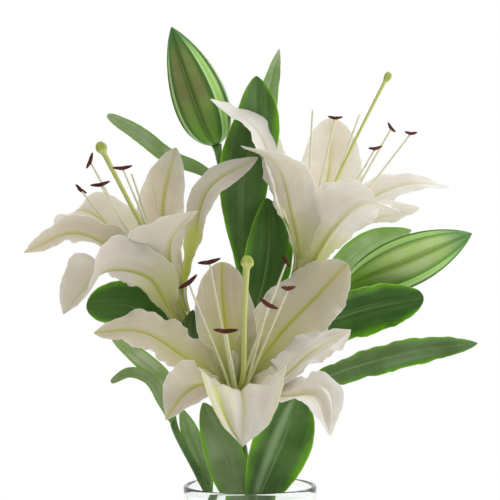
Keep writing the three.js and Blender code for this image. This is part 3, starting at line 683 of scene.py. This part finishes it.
def bud_finish():
    """Closed lily bud: three outer tepals with a dark groove each, pale panels between the ribs, and
    strips of the inner tepals, lime, where the outer ones don't meet. Paleness below 0 darkens the
    bud as painted shade."""
    material, tree = new_finish("closed_lily_bud")
    lie, size = marks_of(tree)
    third = sum_of(tree, "FRACT", sum_of(tree, "MULTIPLY_ADD", lie[0], 3.0, 0.5))
    off = sum_of(tree, "ABSOLUTE", sum_of(tree, "SUBTRACT", third, 0.5))
    place = add(tree, "TexCoord", {}).outputs["Object"]
    clouds = add(tree, "TexNoise", {"Vector": place, "Scale": 1 / (16 * MM), "Detail": 3.0}).outputs[0]
    olive = blend_colours(tree, ramp(tree, clouds, 0.35, 0.65), colour("#85884e"), colour("#8fa757"))
    fresh = blend_colours(tree, ramp(tree, clouds, 0.35, 0.65), colour("#cbe2a2"), colour("#bee283"))
    panel = blend_colours(tree, size[2], olive, fresh)
    foot = ramp(tree, lie[1], 0.08, 0.45, 0.9, 0.0)
    panel = blend_colours(tree, foot, panel, colour("#77b831"))
    side = sum_of(tree, "SUBTRACT", third, 0.5)
    panel = blend_colours(tree, ramp(tree, side, 0.0, 0.3, 0.0, 0.35), panel, colour("#5f6f35"))
    groove = ramp(tree, off, 0.0, 0.12, 0.95, 0.0)
    dark = blend_colours(tree, size[2], colour("#45661a"), colour("#7ea133"))
    skin = blend_colours(tree, groove, panel, dark)
    border = ramp(tree, off, 0.22, 0.36, 0.0, 0.95)
    darkest = blend_colours(tree, size[2], colour("#326d1d"), colour("#629a2b"))
    skin = blend_colours(tree, border, skin, darkest)
    strip = ramp(tree, off, 0.37, 0.40, 0.0, 1.0)
    lime = blend_colours(tree, ramp(tree, off, 0.41, 0.49), colour("#c6ee94"), colour("#a0d365"))
    skin = blend_colours(tree, strip, skin, lime)
    seam = ramp(tree, sum_of(tree, "ABSOLUTE", sum_of(tree, "SUBTRACT", off, 0.378)), 0.0, 0.014, 0.8, 0.0)
    skin = blend_colours(tree, seam, skin, colour("#2f6a1e"))
    tip = ramp(tree, lie[1], 0.7, 0.98, 0.0, 0.9)
    skin = blend_colours(tree, tip, skin, colour("#357c2a"))
    streak_wave = sum_of(tree, "SINE", sum_of(tree, "MULTIPLY", lie[0], 2 * math.pi * 60))
    streaks = sum_of(tree, "MULTIPLY", ramp(tree, streak_wave, 0.2, 1.0), 0.07)
    skin = blend_colours(tree, streaks, skin, colour("#a8c77e"))
    # Painted shade: a bud with paleness below 0 is darkened to deep green.
    painted_bud_shade = ramp(tree, size[2], -0.6, -0.1, 0.88, 0.0)
    skin = blend_colours(tree, painted_bud_shade, skin, colour("#3b5a1e"))
    height = sum_of(tree, "MULTIPLY", streak_wave, 0.08)
    bump = add(tree, "Bump", {"Strength": 0.4, "Distance": 1.0 * MM, "Height": height}).outputs[0]
    shader = add(tree, "BsdfPrincipled", {
        "Base Color": skin, "Roughness": 0.42, "Specular IOR Level": 0.45, "IOR": 1.45, "Normal": bump,
        "Subsurface Weight": 0.2, "Subsurface Radius": (0.6, 1.0, 0.3), "Subsurface Scale": 2.0 * MM,
    })
    add(tree, "OutputMaterial", {0: shader.outputs[0]})
    return material


def stem_finish():
    """Cut lily stem: green, waxed and finely ribbed, with small dark flecks."""
    material, tree = new_finish("ribbed_green_stem")
    lie = marks_of(tree)[0]
    place = add(tree, "TexCoord", {}).outputs["Object"]
    clouds = add(tree, "TexNoise", {"Vector": place, "Scale": 1 / (18 * MM), "Detail": 4.0}).outputs[0]
    skin = blend_colours(tree, ramp(tree, clouds, 0.3, 0.7), colour("#3c6a2c"), colour("#6f9a52"))
    rib_wave = sum_of(tree, "SINE", sum_of(tree, "MULTIPLY", lie[0], 2 * math.pi * 12))
    skin = blend_colours(tree, ramp(tree, rib_wave, 0.1, 1.0, 0.0, 0.35), skin, colour("#9dbd7c"))
    flecks = add(tree, "TexNoise", {"Vector": place, "Scale": 1 / (1.4 * MM), "Detail": 2.0}).outputs[0]
    skin = blend_colours(tree, ramp(tree, flecks, 0.66, 0.74, 0.0, 0.5), skin, colour("#34501f"))
    height = sum_of(tree, "MULTIPLY", rib_wave, 0.15)
    bump = add(tree, "Bump", {"Strength": 0.5, "Distance": 1.0 * MM, "Height": height}).outputs[0]
    shader = add(tree, "BsdfPrincipled", {
        "Base Color": skin, "Roughness": 0.4, "Specular IOR Level": 0.5, "IOR": 1.45, "Normal": bump,
    })
    add(tree, "OutputMaterial", {0: shader.outputs[0]})
    return material


def filament_finish():
    """Lily filament: a smooth juicy thread, green-white at its foot and clearer towards its end."""
    material, tree = new_finish("pale_filament")
    lie = marks_of(tree)[0]
    skin = blend_colours(tree, ramp(tree, lie[1], 0.1, 0.8), colour("#cdd58c"), colour("#f3f3dd"))
    place = add(tree, "TexCoord", {}).outputs["Object"]
    grain = add(tree, "TexNoise", {"Vector": place, "Scale": 1 / (1.2 * MM), "Detail": 2.0}).outputs[0]
    skin = blend_colours(tree, ramp(tree, grain, 0.4, 0.8, 0.0, 0.25), skin, colour("#dfe5b8"))
    bump = add(tree, "Bump", {"Strength": 0.2, "Distance": 0.5 * MM, "Height": grain}).outputs[0]
    shader = add(tree, "BsdfPrincipled", {
        "Base Color": skin, "Roughness": 0.4, "Specular IOR Level": 0.45, "IOR": 1.42, "Normal": bump,
        "Subsurface Weight": 0.4, "Subsurface Radius": (1.0, 0.95, 0.7), "Subsurface Scale": 1.0 * MM,
    })
    add(tree, "OutputMaterial", {0: shader.outputs[0]})
    return material


def anther_finish():
    """Ripe lily anther: split open and covered in dry rust-brown pollen, so it is matte and grainy."""
    material, tree = new_finish("rust_pollen")
    place = add(tree, "TexCoord", {}).outputs["Object"]
    clumps = add(tree, "TexNoise", {"Vector": place, "Scale": 1 / (2.4 * MM), "Detail": 3.0}).outputs[0]
    grains = add(tree, "TexVoronoi", {"Vector": place, "Scale": 1 / (0.6 * MM)}).outputs[0]
    skin = blend_colours(tree, ramp(tree, clumps, 0.35, 0.7), colour("#47201f"), colour("#74403a"))
    skin = blend_colours(tree, ramp(tree, grains, 0.2, 0.6, 0.35, 0.0), skin, colour("#8d5b4e"))
    bump = add(tree, "Bump", {"Strength": 0.8, "Distance": 0.4 * MM, "Height": grains}).outputs[0]
    shader = add(tree, "BsdfPrincipled", {
        "Base Color": skin, "Roughness": 0.85, "Specular IOR Level": 0.2, "Normal": bump,
    })
    add(tree, "OutputMaterial", {0: shader.outputs[0]})
    return material


def pistil_finish():
    """Pistil: a smooth green-yellow column with a wet, finely pimpled lime stigma on top."""
    material, tree = new_finish("moist_pistil")
    lie = marks_of(tree)[0]
    skin = blend_colours(tree, ramp(tree, lie[1], 0.15, 0.5), colour("#a9ba5c"), colour("#dbe38e"))
    on_top = ramp(tree, lie[1], 0.955, 0.97)
    skin = blend_colours(tree, on_top, skin, colour("#b4c656"))
    place = add(tree, "TexCoord", {}).outputs["Object"]
    pimples = add(tree, "TexVoronoi", {"Vector": place, "Scale": 1 / (0.9 * MM)}).outputs[0]
    dots = sum_of(tree, "MULTIPLY", ramp(tree, pimples, 0.1, 0.6, 0.4, 0.0), on_top)
    skin = blend_colours(tree, dots, skin, colour("#e3eaa6"))
    height = sum_of(tree, "MULTIPLY", pimples, on_top)
    bump = add(tree, "Bump", {"Strength": 0.4, "Distance": 0.4 * MM, "Height": height}).outputs[0]
    shader = add(tree, "BsdfPrincipled", {
        "Base Color": skin, "Roughness": 0.32, "Specular IOR Level": 0.5, "IOR": 1.42, "Normal": bump,
        "Subsurface Weight": 0.12, "Subsurface Radius": (0.9, 1.0, 0.4), "Subsurface Scale": 1.0 * MM,
    })
    add(tree, "OutputMaterial", {0: shader.outputs[0]})
    return material


def glass_finish():
    """Clear blown soda glass, fire-polished: colourless, a little uneven so reflections waver."""
    material, tree = new_finish("clear_blown_glass")
    place = add(tree, "TexCoord", {}).outputs["Object"]
    waver = add(tree, "TexNoise", {"Vector": place, "Scale": 1 / (40 * MM), "Detail": 1.0}).outputs[0]
    bump = add(tree, "Bump", {"Strength": 0.08, "Distance": 1.0 * MM, "Height": waver}).outputs[0]
    tint = blend_colours(tree, ramp(tree, waver, 0.3, 0.7), colour("#fdfffe"), colour("#fafefc"))
    shader = add(tree, "BsdfPrincipled", {
        "Base Color": tint, "Roughness": 0.0, "IOR": 1.5, "Transmission Weight": 1.0, "Normal": bump,
    })
    add(tree, "OutputMaterial", {0: shader.outputs[0]})
    return material


def water_finish():
    """Still tap water: clear, with the faintest ripple."""
    material, tree = new_finish("still_water")
    place = add(tree, "TexCoord", {}).outputs["Object"]
    waver = add(tree, "TexNoise", {"Vector": place, "Scale": 1 / (30 * MM), "Detail": 1.0}).outputs[0]
    bump = add(tree, "Bump", {"Strength": 0.03, "Distance": 1.0 * MM, "Height": waver}).outputs[0]
    tint = blend_colours(tree, ramp(tree, waver, 0.3, 0.7), colour("#fcfffe"), colour("#f9fefc"))
    shader = add(tree, "BsdfPrincipled", {
        "Base Color": tint, "Roughness": 0.0, "IOR": 1.333, "Transmission Weight": 1.0, "Normal": bump,
    })
    add(tree, "OutputMaterial", {0: shader.outputs[0]})
    return material


PETAL = petal_finish()
LEAF = leaf_finish()
BUD = bud_finish()
STEM = stem_finish()
FILAMENT = filament_finish()
POLLEN = anther_finish()
PISTIL = pistil_finish()
GLASS = glass_finish()
WATER = water_finish()


# ---- Flowers ----
def crowded_to_tip(count, crowding=1.6):
    """Shares from root to tip, closer together towards the tip."""
    return 1 - (1 - np.linspace(0, 1, count)) ** crowding


class Seat:
    """A flower's own frame: its seat, its axis, and the ways right and back."""

    def __init__(self, flower):
        self.up = unit(np.array(flower["axis"], float))
        self.right = unit(np.cross(SIDE_ON, self.up))
        self.back = np.cross(self.up, self.right)
        self.seat = from_rim(flower["seat"])

    def at(self, radius, turn, height):
        way = self.right * math.cos(turn) + self.back * math.sin(turn)
        return self.seat + self.up * height + way * radius

    def radius_of(self, points):
        offset = points - self.seat
        offset = offset - (offset @ self.up)[:, None] * self.up
        return np.linalg.norm(offset, axis=1)


def ruffle_of(amount):
    """Wave of a blade's edges: each side runs on its own, in long folds with short crinkles."""
    starts = chance.uniform(0, 2 * math.pi, (3, 2))
    folds = np.array([chance.uniform(low, high, 2) for low, high in ((24, 32), (11, 15), (4.6, 6.2))])
    depths = (0.62, 0.3, 0.12)

    def ruffle(share, u, mm_along):
        wave = np.zeros(np.broadcast(u, mm_along).shape)
        for sign, side in ((-1, 0), (1, 1)):
            on_side = np.clip(sign * u, 0, 1)
            for depth, fold, start, grip in zip(depths, folds[:, side], starts[:, side], (2.2, 3.2, 5.0)):
                wave += depth * on_side**grip * np.sin(2 * math.pi * mm_along / fold + start)
        return amount * wave * np.sin(math.pi * np.clip(share, 0, 1) ** 0.9) ** 0.7

    return ruffle


def tepal_shell(flower, seat, index):
    # green, the eighth column, is how far the throat's green reaches and also how much painted shade darkens
    # the tepal.
    name, ring, width, roll, ruffle_size, blunt, keel, green, reach = flower["tepals"][index]
    spread = 2 * math.pi / len(flower["tepals"])
    turn = math.radians(flower["first_turn"]) - spread * index
    beyond = [seat.seat + offset for offset in np.array(reach, float)]
    line = Line([seat.at(ring, turn, GAP), seat.at(ring + TUBE_FLARE, turn, TUBE_LENGTH), *beyond])
    shares = crowded_to_tip(84)
    along = line.along(shares)
    root_across = np.cross(seat.up, seat.at(1, turn, 0) - seat.seat)
    tip_across = unit(np.cross(seat.up, beyond[0] - seat.seat))
    mix = np.minimum(1, shares * 2)[:, None]
    across = root_across * (1 - mix) + tip_across * mix
    across = across - np.sum(across * along, axis=1, keepdims=True) * along
    across = turned(across, along, np.radians(roll * shares))
    ruffle = ruffle_of(ruffle_size)

    def width_at(share, centre):
        full = np.maximum(width * swelling(share, TEPAL_WIDEST, blunt), TEPAL_ROOT * (1 - share))
        overlap = OUTER_OVERLAP if ring == OUTER_RING else 1 + 0.5 * share
        room = seat.radius_of(centre) * spread * TEPAL_CROWDING * overlap
        return np.maximum(NARROWEST * 0.5, np.minimum(full, room))

    def lift_at(share, u, half, centre, mm_along):
        cup = half**2 / (2 * seat.radius_of(centre))[:, None]
        gutter = np.exp(-((u * half / 1.5) ** 2)) * ramp_of(share, 0.02, 0.12) * (1 - ramp_of(share, 0.75, 1))
        shoulders = np.exp(-(((abs(u) * half - 4.2) / 2.4) ** 2)) * (1 - ramp_of(share, 0.6, 0.95))
        fold = keel * half * (np.sqrt(u**2 + 0.02) - 0.14) * ramp_of(share, 0.45, 0.7)
        return cup * u**2 + fold + ruffle(share, u, mm_along) - 0.9 * gutter + 0.45 * shoulders

    def thickness_at(share, u):
        return TEPAL_THICKNESS * (1 - 0.6 * u**2) * (1 - 0.4 * share)

    node = f"{flower['name']}_flower_tepal_{name}"
    return sheet_shell(node, line, shares, across, width_at, lift_at, thickness_at, green, ruffle_size)


def anther_shell(middle, way, size):
    """Boat-shaped anther: two lobes with a furrow between them, slightly bowed."""
    way = unit(np.array(way, float))
    bow = unit(np.cross(way, np.cross((0, 0, 1.0), way)) + 1e-9) * ANTHER_BOW
    half = way * ANTHER_LENGTH * size / 2
    ends = [middle - half + bow, middle, middle + half + bow]
    shares = np.linspace(0, 1, 22)

    def radius_at(share, angle):
        taper = np.clip(np.sin(math.pi * (0.04 + 0.92 * share)), 0, 1) ** 0.6
        furrow = 0.3 * np.exp(-((np.sin(angle) - 1) ** 2) / 0.05)
        seam = 0.14 * np.exp(-((np.sin(angle) + 1) ** 2) / 0.05)
        lobes = 1 - furrow - seam
        lumps = 1 + 0.07 * np.sin(share * 31 + angle * 2) * np.sin(angle * 3 + share * 17)
        return ANTHER_RADIUS * size * taper * lobes * lumps

    return round_shell(Line(ends), shares, radius_at, 18, finish=1)


def stamen_shells(flower, seat, index):
    reach, way = flower["stamens"][index]
    end = seat.seat + np.array(reach, float)
    turn = math.radians(flower["first_stamen_turn"] + 360 / len(flower["stamens"]) * index)
    start = seat.at(FILAMENT_RING, turn, GAP)
    line = Line([start, seat.at(FILAMENT_RING + FILAMENT_FLARE, turn, TUBE_LENGTH), end])

    def radius_at(share, angle):
        return FILAMENT_RADIUS * (1.25 - 0.6 * share) * (1 + 0.05 * np.cos(2 * angle))

    shells = [round_shell(line, np.linspace(0, 1, 40), radius_at, 10)]
    if way:
        shells.append(anther_shell(end, way, flower["anther_size"]))
    return shells


def pistil_shell(flower, seat):
    """Six-ribbed ovary, smooth style, and a stigma that swells into three lobes."""
    reach = [seat.seat + offset for offset in np.array(flower["pistil"], float)]
    line = Line([seat.at(0, 0, GAP), seat.at(0, 0, TUBE_LENGTH), *reach])
    size = flower["pistil_size"]
    brow = 1 - 1.3 * size * STIGMA_RADIUS / line.length  # share where the stigma is widest
    shares = np.unique(np.r_[np.linspace(0, 0.3, 20), np.linspace(0.3, 0.93, 34), np.linspace(0.93, 1, 26)])

    def radius_at(share, angle):
        ovary = OVARY_RADIUS * (1 - ramp_of(share, 0.17, 0.27)) * (1 + 0.1 * np.cos(6 * angle))
        style = STYLE_RADIUS * ramp_of(share, 0.14, 0.27) * (1 + 0.2 * ramp_of(share, 0.75, 0.95))
        knob = ramp_of(share, brow - 0.035, brow)
        dome = np.sqrt(np.clip(1 - ((share - brow) / (1.002 - brow)) ** 2, 0.02, 1))
        stigma = STIGMA_RADIUS * (1 + 0.2 * np.cos(3 * angle))
        shape = (ovary + style) * (1 - knob) + stigma * knob
        return size * np.where(share < brow, shape, stigma * dome)

    return round_shell(line, shares, radius_at, 24)


for flower in FLOWERS:
    seat = Seat(flower)
    for index, row in enumerate(flower["tepals"]):
        node = f"{flower['name']}_flower_tepal_{row[0]}"
        closed_piece(f"{node}_grown", [tepal_shell(flower, seat, index)], node, [PETAL])
    for index in range(len(flower["stamens"])):
        node = f"{flower['name']}_flower_stamen_{index + 1}"
        closed_piece(f"{node}_grown", stamen_shells(flower, seat, index), node, [FILAMENT, POLLEN])
    node = f"{flower['name']}_flower_pistil"
    closed_piece(f"{node}_grown", [pistil_shell(flower, seat)], node, [PISTIL])


# ---- Stems, stalks and buds ----
def stalk_radius(length, thick, thin, flare, mouth):
    def radius_at(share, angle):
        taper = thick + (thin - thick) * share
        widening = ramp_of(share * length, length - flare, length) * (mouth - thin)
        joints = 1 + 0.05 * np.sin(share * length / 23) + 0.03 * np.sin(share * length / 9 + 1)
        return (taper * joints + widening) * (1 + 0.035 * np.cos(6 * angle))

    return radius_at


def stalk_shell(line, thick, flare, mouth):
    count = int(line.length / 3) + 8
    radius_at = stalk_radius(line.length, thick, STALK_RADIUS, flare, mouth)
    return round_shell(line, np.linspace(0, 1, count), radius_at, 24)


def bud_shell(start, bud):
    tip, radius, widest, bow, turn, paleness = bud
    tip = from_rim(tip)
    middle = (start + tip) / 2 + np.array(bow, float)
    shares = crowded_to_tip(70, 1.25)

    def radius_at(share, angle):
        body = radius * swelling(share, widest, 0.85)
        root = BUD_SEAT_RADIUS * (1 - share)
        third = (angle / (2 * math.pi) * 3 + 0.5) % 1
        off = abs(third - 0.5)
        groove = 0.10 * np.exp(-((off / 0.05) ** 2))
        border = 0.03 * np.exp(-(((off - 0.35) / 0.04) ** 2))
        step = 0.08 * ramp_of(off, 0.37, 0.40)
        fade = ramp_of(share, 0.04, 0.2) * (1 - ramp_of(share, 0.9, 1))
        shape = 1 + fade * (border - groove - step)
        return np.maximum(np.maximum(0.35, root), body) * shape

    line = Line([start, middle, tip])
    return round_shell(line, shares, radius_at, 144, paleness, turn=turn, facing=(0, -1, 0))


lines = {}
for name, stem in STEMS.items():
    flower = next(f for f in FLOWERS if f["name"] == name)
    seat = Seat(flower)
    foot = np.array((*stem["foot"], GLASS_BASE + GAP), float)
    rise = [from_rim(p) for p in stem["rise"]]
    lines[name] = Line([foot, *rise, seat.seat - seat.up * SEAT_FLARE, seat.seat])
for name, height, via in STALKS:
    start = lines["right"].point_at_height(VASE_HEIGHT + height)
    lines[name] = Line([start, *[from_rim(p) for p in via]])

for name in STEMS:
    shells = [stalk_shell(lines[name], STEM_RADIUS, SEAT_FLARE, SEAT_RADIUS)]
    if name == "right":
        for stalk, height, via in STALKS:
            shells.append(stalk_shell(lines[stalk], STALK_RADIUS, BUD_FLARE, BUD_SEAT_RADIUS))
        small = bud_shell(lines["small"].points[-1] - (0, 0, 2), BUDS["small"])
        shells.append((*small[:3], 1))
    closed_piece(f"{name}_stem_grown", shells, f"{name}_stem", [STEM, BUD])

for name in ("top", "side"):
    start = lines[name].points[-1]
    way = unit(from_rim(BUDS[name][0]) - start)
    closed_piece(f"{name}_bud_grown", [bud_shell(start + way * GAP, BUDS[name])], f"{name}_bud", [BUD])


# ---- Leaves ----
def leaf_shell(row):
    name, carrier, height, width, widest, blunt, roll, wave_size, paleness, reach = row
    root = lines[carrier].point_at_height(VASE_HEIGHT + height)
    line = Line([root, *[from_rim(p) for p in reach]])
    shares = crowded_to_tip(72)
    along = line.along(shares)
    across = unit(np.cross(along, SIDE_ON))
    across = turned(across, along, np.radians(roll[0] + (roll[1] - roll[0]) * shares))
    wave = ruffle_of(wave_size)

    def width_at(share, centre):
        full = np.maximum(width * swelling(share, widest, blunt), LEAF_ROOT * (1 - share))
        return np.maximum(NARROWEST * 0.4, full)

    def lift_at(share, u, half, centre, mm_along):
        gutter = np.exp(-((u * half / 0.9) ** 2)) * (1 - ramp_of(share, 0.85, 1))
        return half * LEAF_FOLD * np.sqrt(u**2 + 0.01) + wave(share, u, mm_along) - 0.5 * gutter

    def thickness_at(share, u):
        return LEAF_THICKNESS * (1 - 0.6 * u**2) * (1 - 0.3 * share)

    node = f"{name}_leaf"
    return sheet_shell(node, line, shares, across, width_at, lift_at, thickness_at, paleness, wave_size)


for row in LEAVES:
    node = f"{row[0]}_leaf"
    closed_piece(f"{node}_grown", [leaf_shell(row)], node, [LEAF])


# ---- Vase and water ----
def inner_radius(height):
    return FOOT_RADIUS + (RIM_RADIUS - FOOT_RADIUS) * height / VASE_HEIGHT - GLASS_WALL


def arc(centre, radius, start, end, count=9):
    """Points of (radius, height) along a round corner, in degrees from outwards."""
    turns = np.radians(np.linspace(start, end, count))
    return [(centre[0] + radius * math.cos(t), centre[1] + radius * math.sin(t)) for t in turns]


def vase_profile():
    foot_round, floor_round = 2.0, 4.0
    wall = [(inner_radius(h) + GLASS_WALL, h) for h in np.linspace(8, VASE_HEIGHT - 6, 30)]
    inside = [(inner_radius(h), h) for h in np.linspace(VASE_HEIGHT - 6, GLASS_BASE + floor_round, 30)]
    rim_half = GLASS_WALL / 2
    rim = arc((RIM_RADIUS - rim_half, VASE_HEIGHT - rim_half), rim_half, 0, 180)
    corner = arc((inner_radius(GLASS_BASE) - floor_round, GLASS_BASE + floor_round), floor_round, 0, -90)
    foot = arc((FOOT_RADIUS - foot_round, foot_round), foot_round, -90, 0)
    hollow = [(0, 1.2), (12, 1.1), (24, 0.8), (32, 0.3), (36, 0)]  # ground hollow under the foot
    return [*hollow, *foot, *wall, *rim, *inside, *corner, (20, GLASS_BASE), (0, GLASS_BASE)]


def water_profile():
    """The water touches the glass, and climbs it a little at its top edge."""
    sink, climb = 0.1, 1.6
    low = GLASS_BASE - sink
    side = [(inner_radius(h) + sink, h) for h in np.linspace(GLASS_BASE + 4, WATER_TOP, 24)]
    corner = arc((inner_radius(GLASS_BASE) - 4 + sink, GLASS_BASE + 4 - sink), 4, -90, 0)
    top = [(side[-1][0] - reach, WATER_TOP - climb * (1 - math.exp(-reach / 1.5)))
           for reach in (0.4, 0.9, 1.6, 2.6, 4, 6, 9)]
    return [(0, low), (20, low), *corner, *side, *top, (20, WATER_TOP - climb), (0, WATER_TOP - climb)]


closed_piece("vase_blown", [lathe_shell(vase_profile())], "vase", [GLASS])
closed_piece("water_filled", [lathe_shell(water_profile())], "water", [WATER])


# ---- Floor, light and camera ----
FLOOR_RADIUS = 1.4  # metres: its far edge lies just under the camera's view


def plain_floor():
    """Matte white table top, wide enough for its edge to stay out of the light on the vase."""
    material, tree = new_finish("matte_white_table")
    shader = add(tree, "BsdfPrincipled", {"Base Color": colour("#f4f4f2"), "Roughness": 0.8})
    add(tree, "OutputMaterial", {0: shader.outputs[0]})
    mesh = bpy.data.meshes.new("table_top")
    turns = np.linspace(0, 2 * math.pi, 64, endpoint=False)
    edge = [(FLOOR_RADIUS * math.cos(t), FLOOR_RADIUS * math.sin(t), 0) for t in turns]
    mesh.from_pydata(edge, [], [list(range(len(edge)))])
    mesh.materials.append(material)
    floor = bpy.data.objects.new("table_top", mesh)
    bpy.context.scene.collection.objects.link(floor)


def soft_light(name, place, aim, size, power, tint):
    data = bpy.data.lights.new(name, "AREA")
    data.shape, data.size, data.energy = "DISK", size, power
    data.color = colour(tint)[:3]
    light = bpy.data.objects.new(name, data)
    light.location = place
    light.rotation_mode = "QUATERNION"
    light.rotation_quaternion = (Vector(aim) - Vector(place)).to_track_quat("-Z", "Y")
    bpy.context.scene.collection.objects.link(light)


plain_floor()
BUNCH_MIDDLE = (0, 0, 0.4)
soft_light("window_behind", (0.9, 1.1, 1.3), BUNCH_MIDDLE, 0.7, 6, "#ffffff")
soft_light("window_beside", (0.55, -0.15, 0.62), (0.1, 0, 0.45), 0.3, 0.7, "#ffffff")

BRIGHT_SIDE = (0.42, 0.76, 0.5)  # the room's light comes from behind, above and the right
ROOM_DIM, ROOM_BRIGHT = 0.3, 1.08
DIM_UNTIL, BRIGHT_FROM = -0.7, 0.5  # how far a way points to the bright side
world = bpy.data.worlds.new("white_room")
world.use_nodes = True
tree = world.node_tree
way = add(tree, "TexCoord", {}).outputs["Generated"]
towards = add(tree, "VectorMath", {"operation": "DOT_PRODUCT", 0: way, 1: BRIGHT_SIDE}).outputs["Value"]
glow = ramp(tree, towards, DIM_UNTIL, BRIGHT_FROM, ROOM_DIM, ROOM_BRIGHT)
background = tree.nodes["Background"]
warmth = ramp(tree, towards, DIM_UNTIL, BRIGHT_FROM)
room = blend_colours(tree, warmth, colour("#f3ede3"), colour("#ffffff"))
tree.links.new(room, background.inputs["Color"])
tree.links.new(glow, background.inputs["Strength"])
# The room lights the bunch, and a plain white backdrop stands behind it.
backdrop = add(tree, "Background", {"Color": colour("#ffffff"), "Strength": 1.0})
seen = add(tree, "LightPath", {}).outputs["Is Camera Ray"]
sky = add(tree, "MixShader", {0: seen, 1: background.outputs[0], 2: backdrop.outputs[0]})
tree.links.new(sky.outputs[0], tree.nodes["World Output"].inputs["Surface"])
bpy.context.scene.world = world
bpy.context.scene.view_settings.view_transform = "Standard"

CAMERA_DISTANCE = 1.3
CAMERA_HEIGHT = 0.406
SHOWN_WIDTH = 0.375  # of the plane through the vase's axis
SENSOR = 36
camera_data = bpy.data.cameras.new("camera")
camera_data.sensor_width = SENSOR
camera_data.lens = SENSOR * CAMERA_DISTANCE / SHOWN_WIDTH
camera = bpy.data.objects.new("camera", camera_data)
camera.location = (0, -CAMERA_DISTANCE, CAMERA_HEIGHT)
camera.rotation_euler = (math.pi / 2, 0, 0)
bpy.context.scene.collection.objects.link(camera)
bpy.context.scene.camera = camera
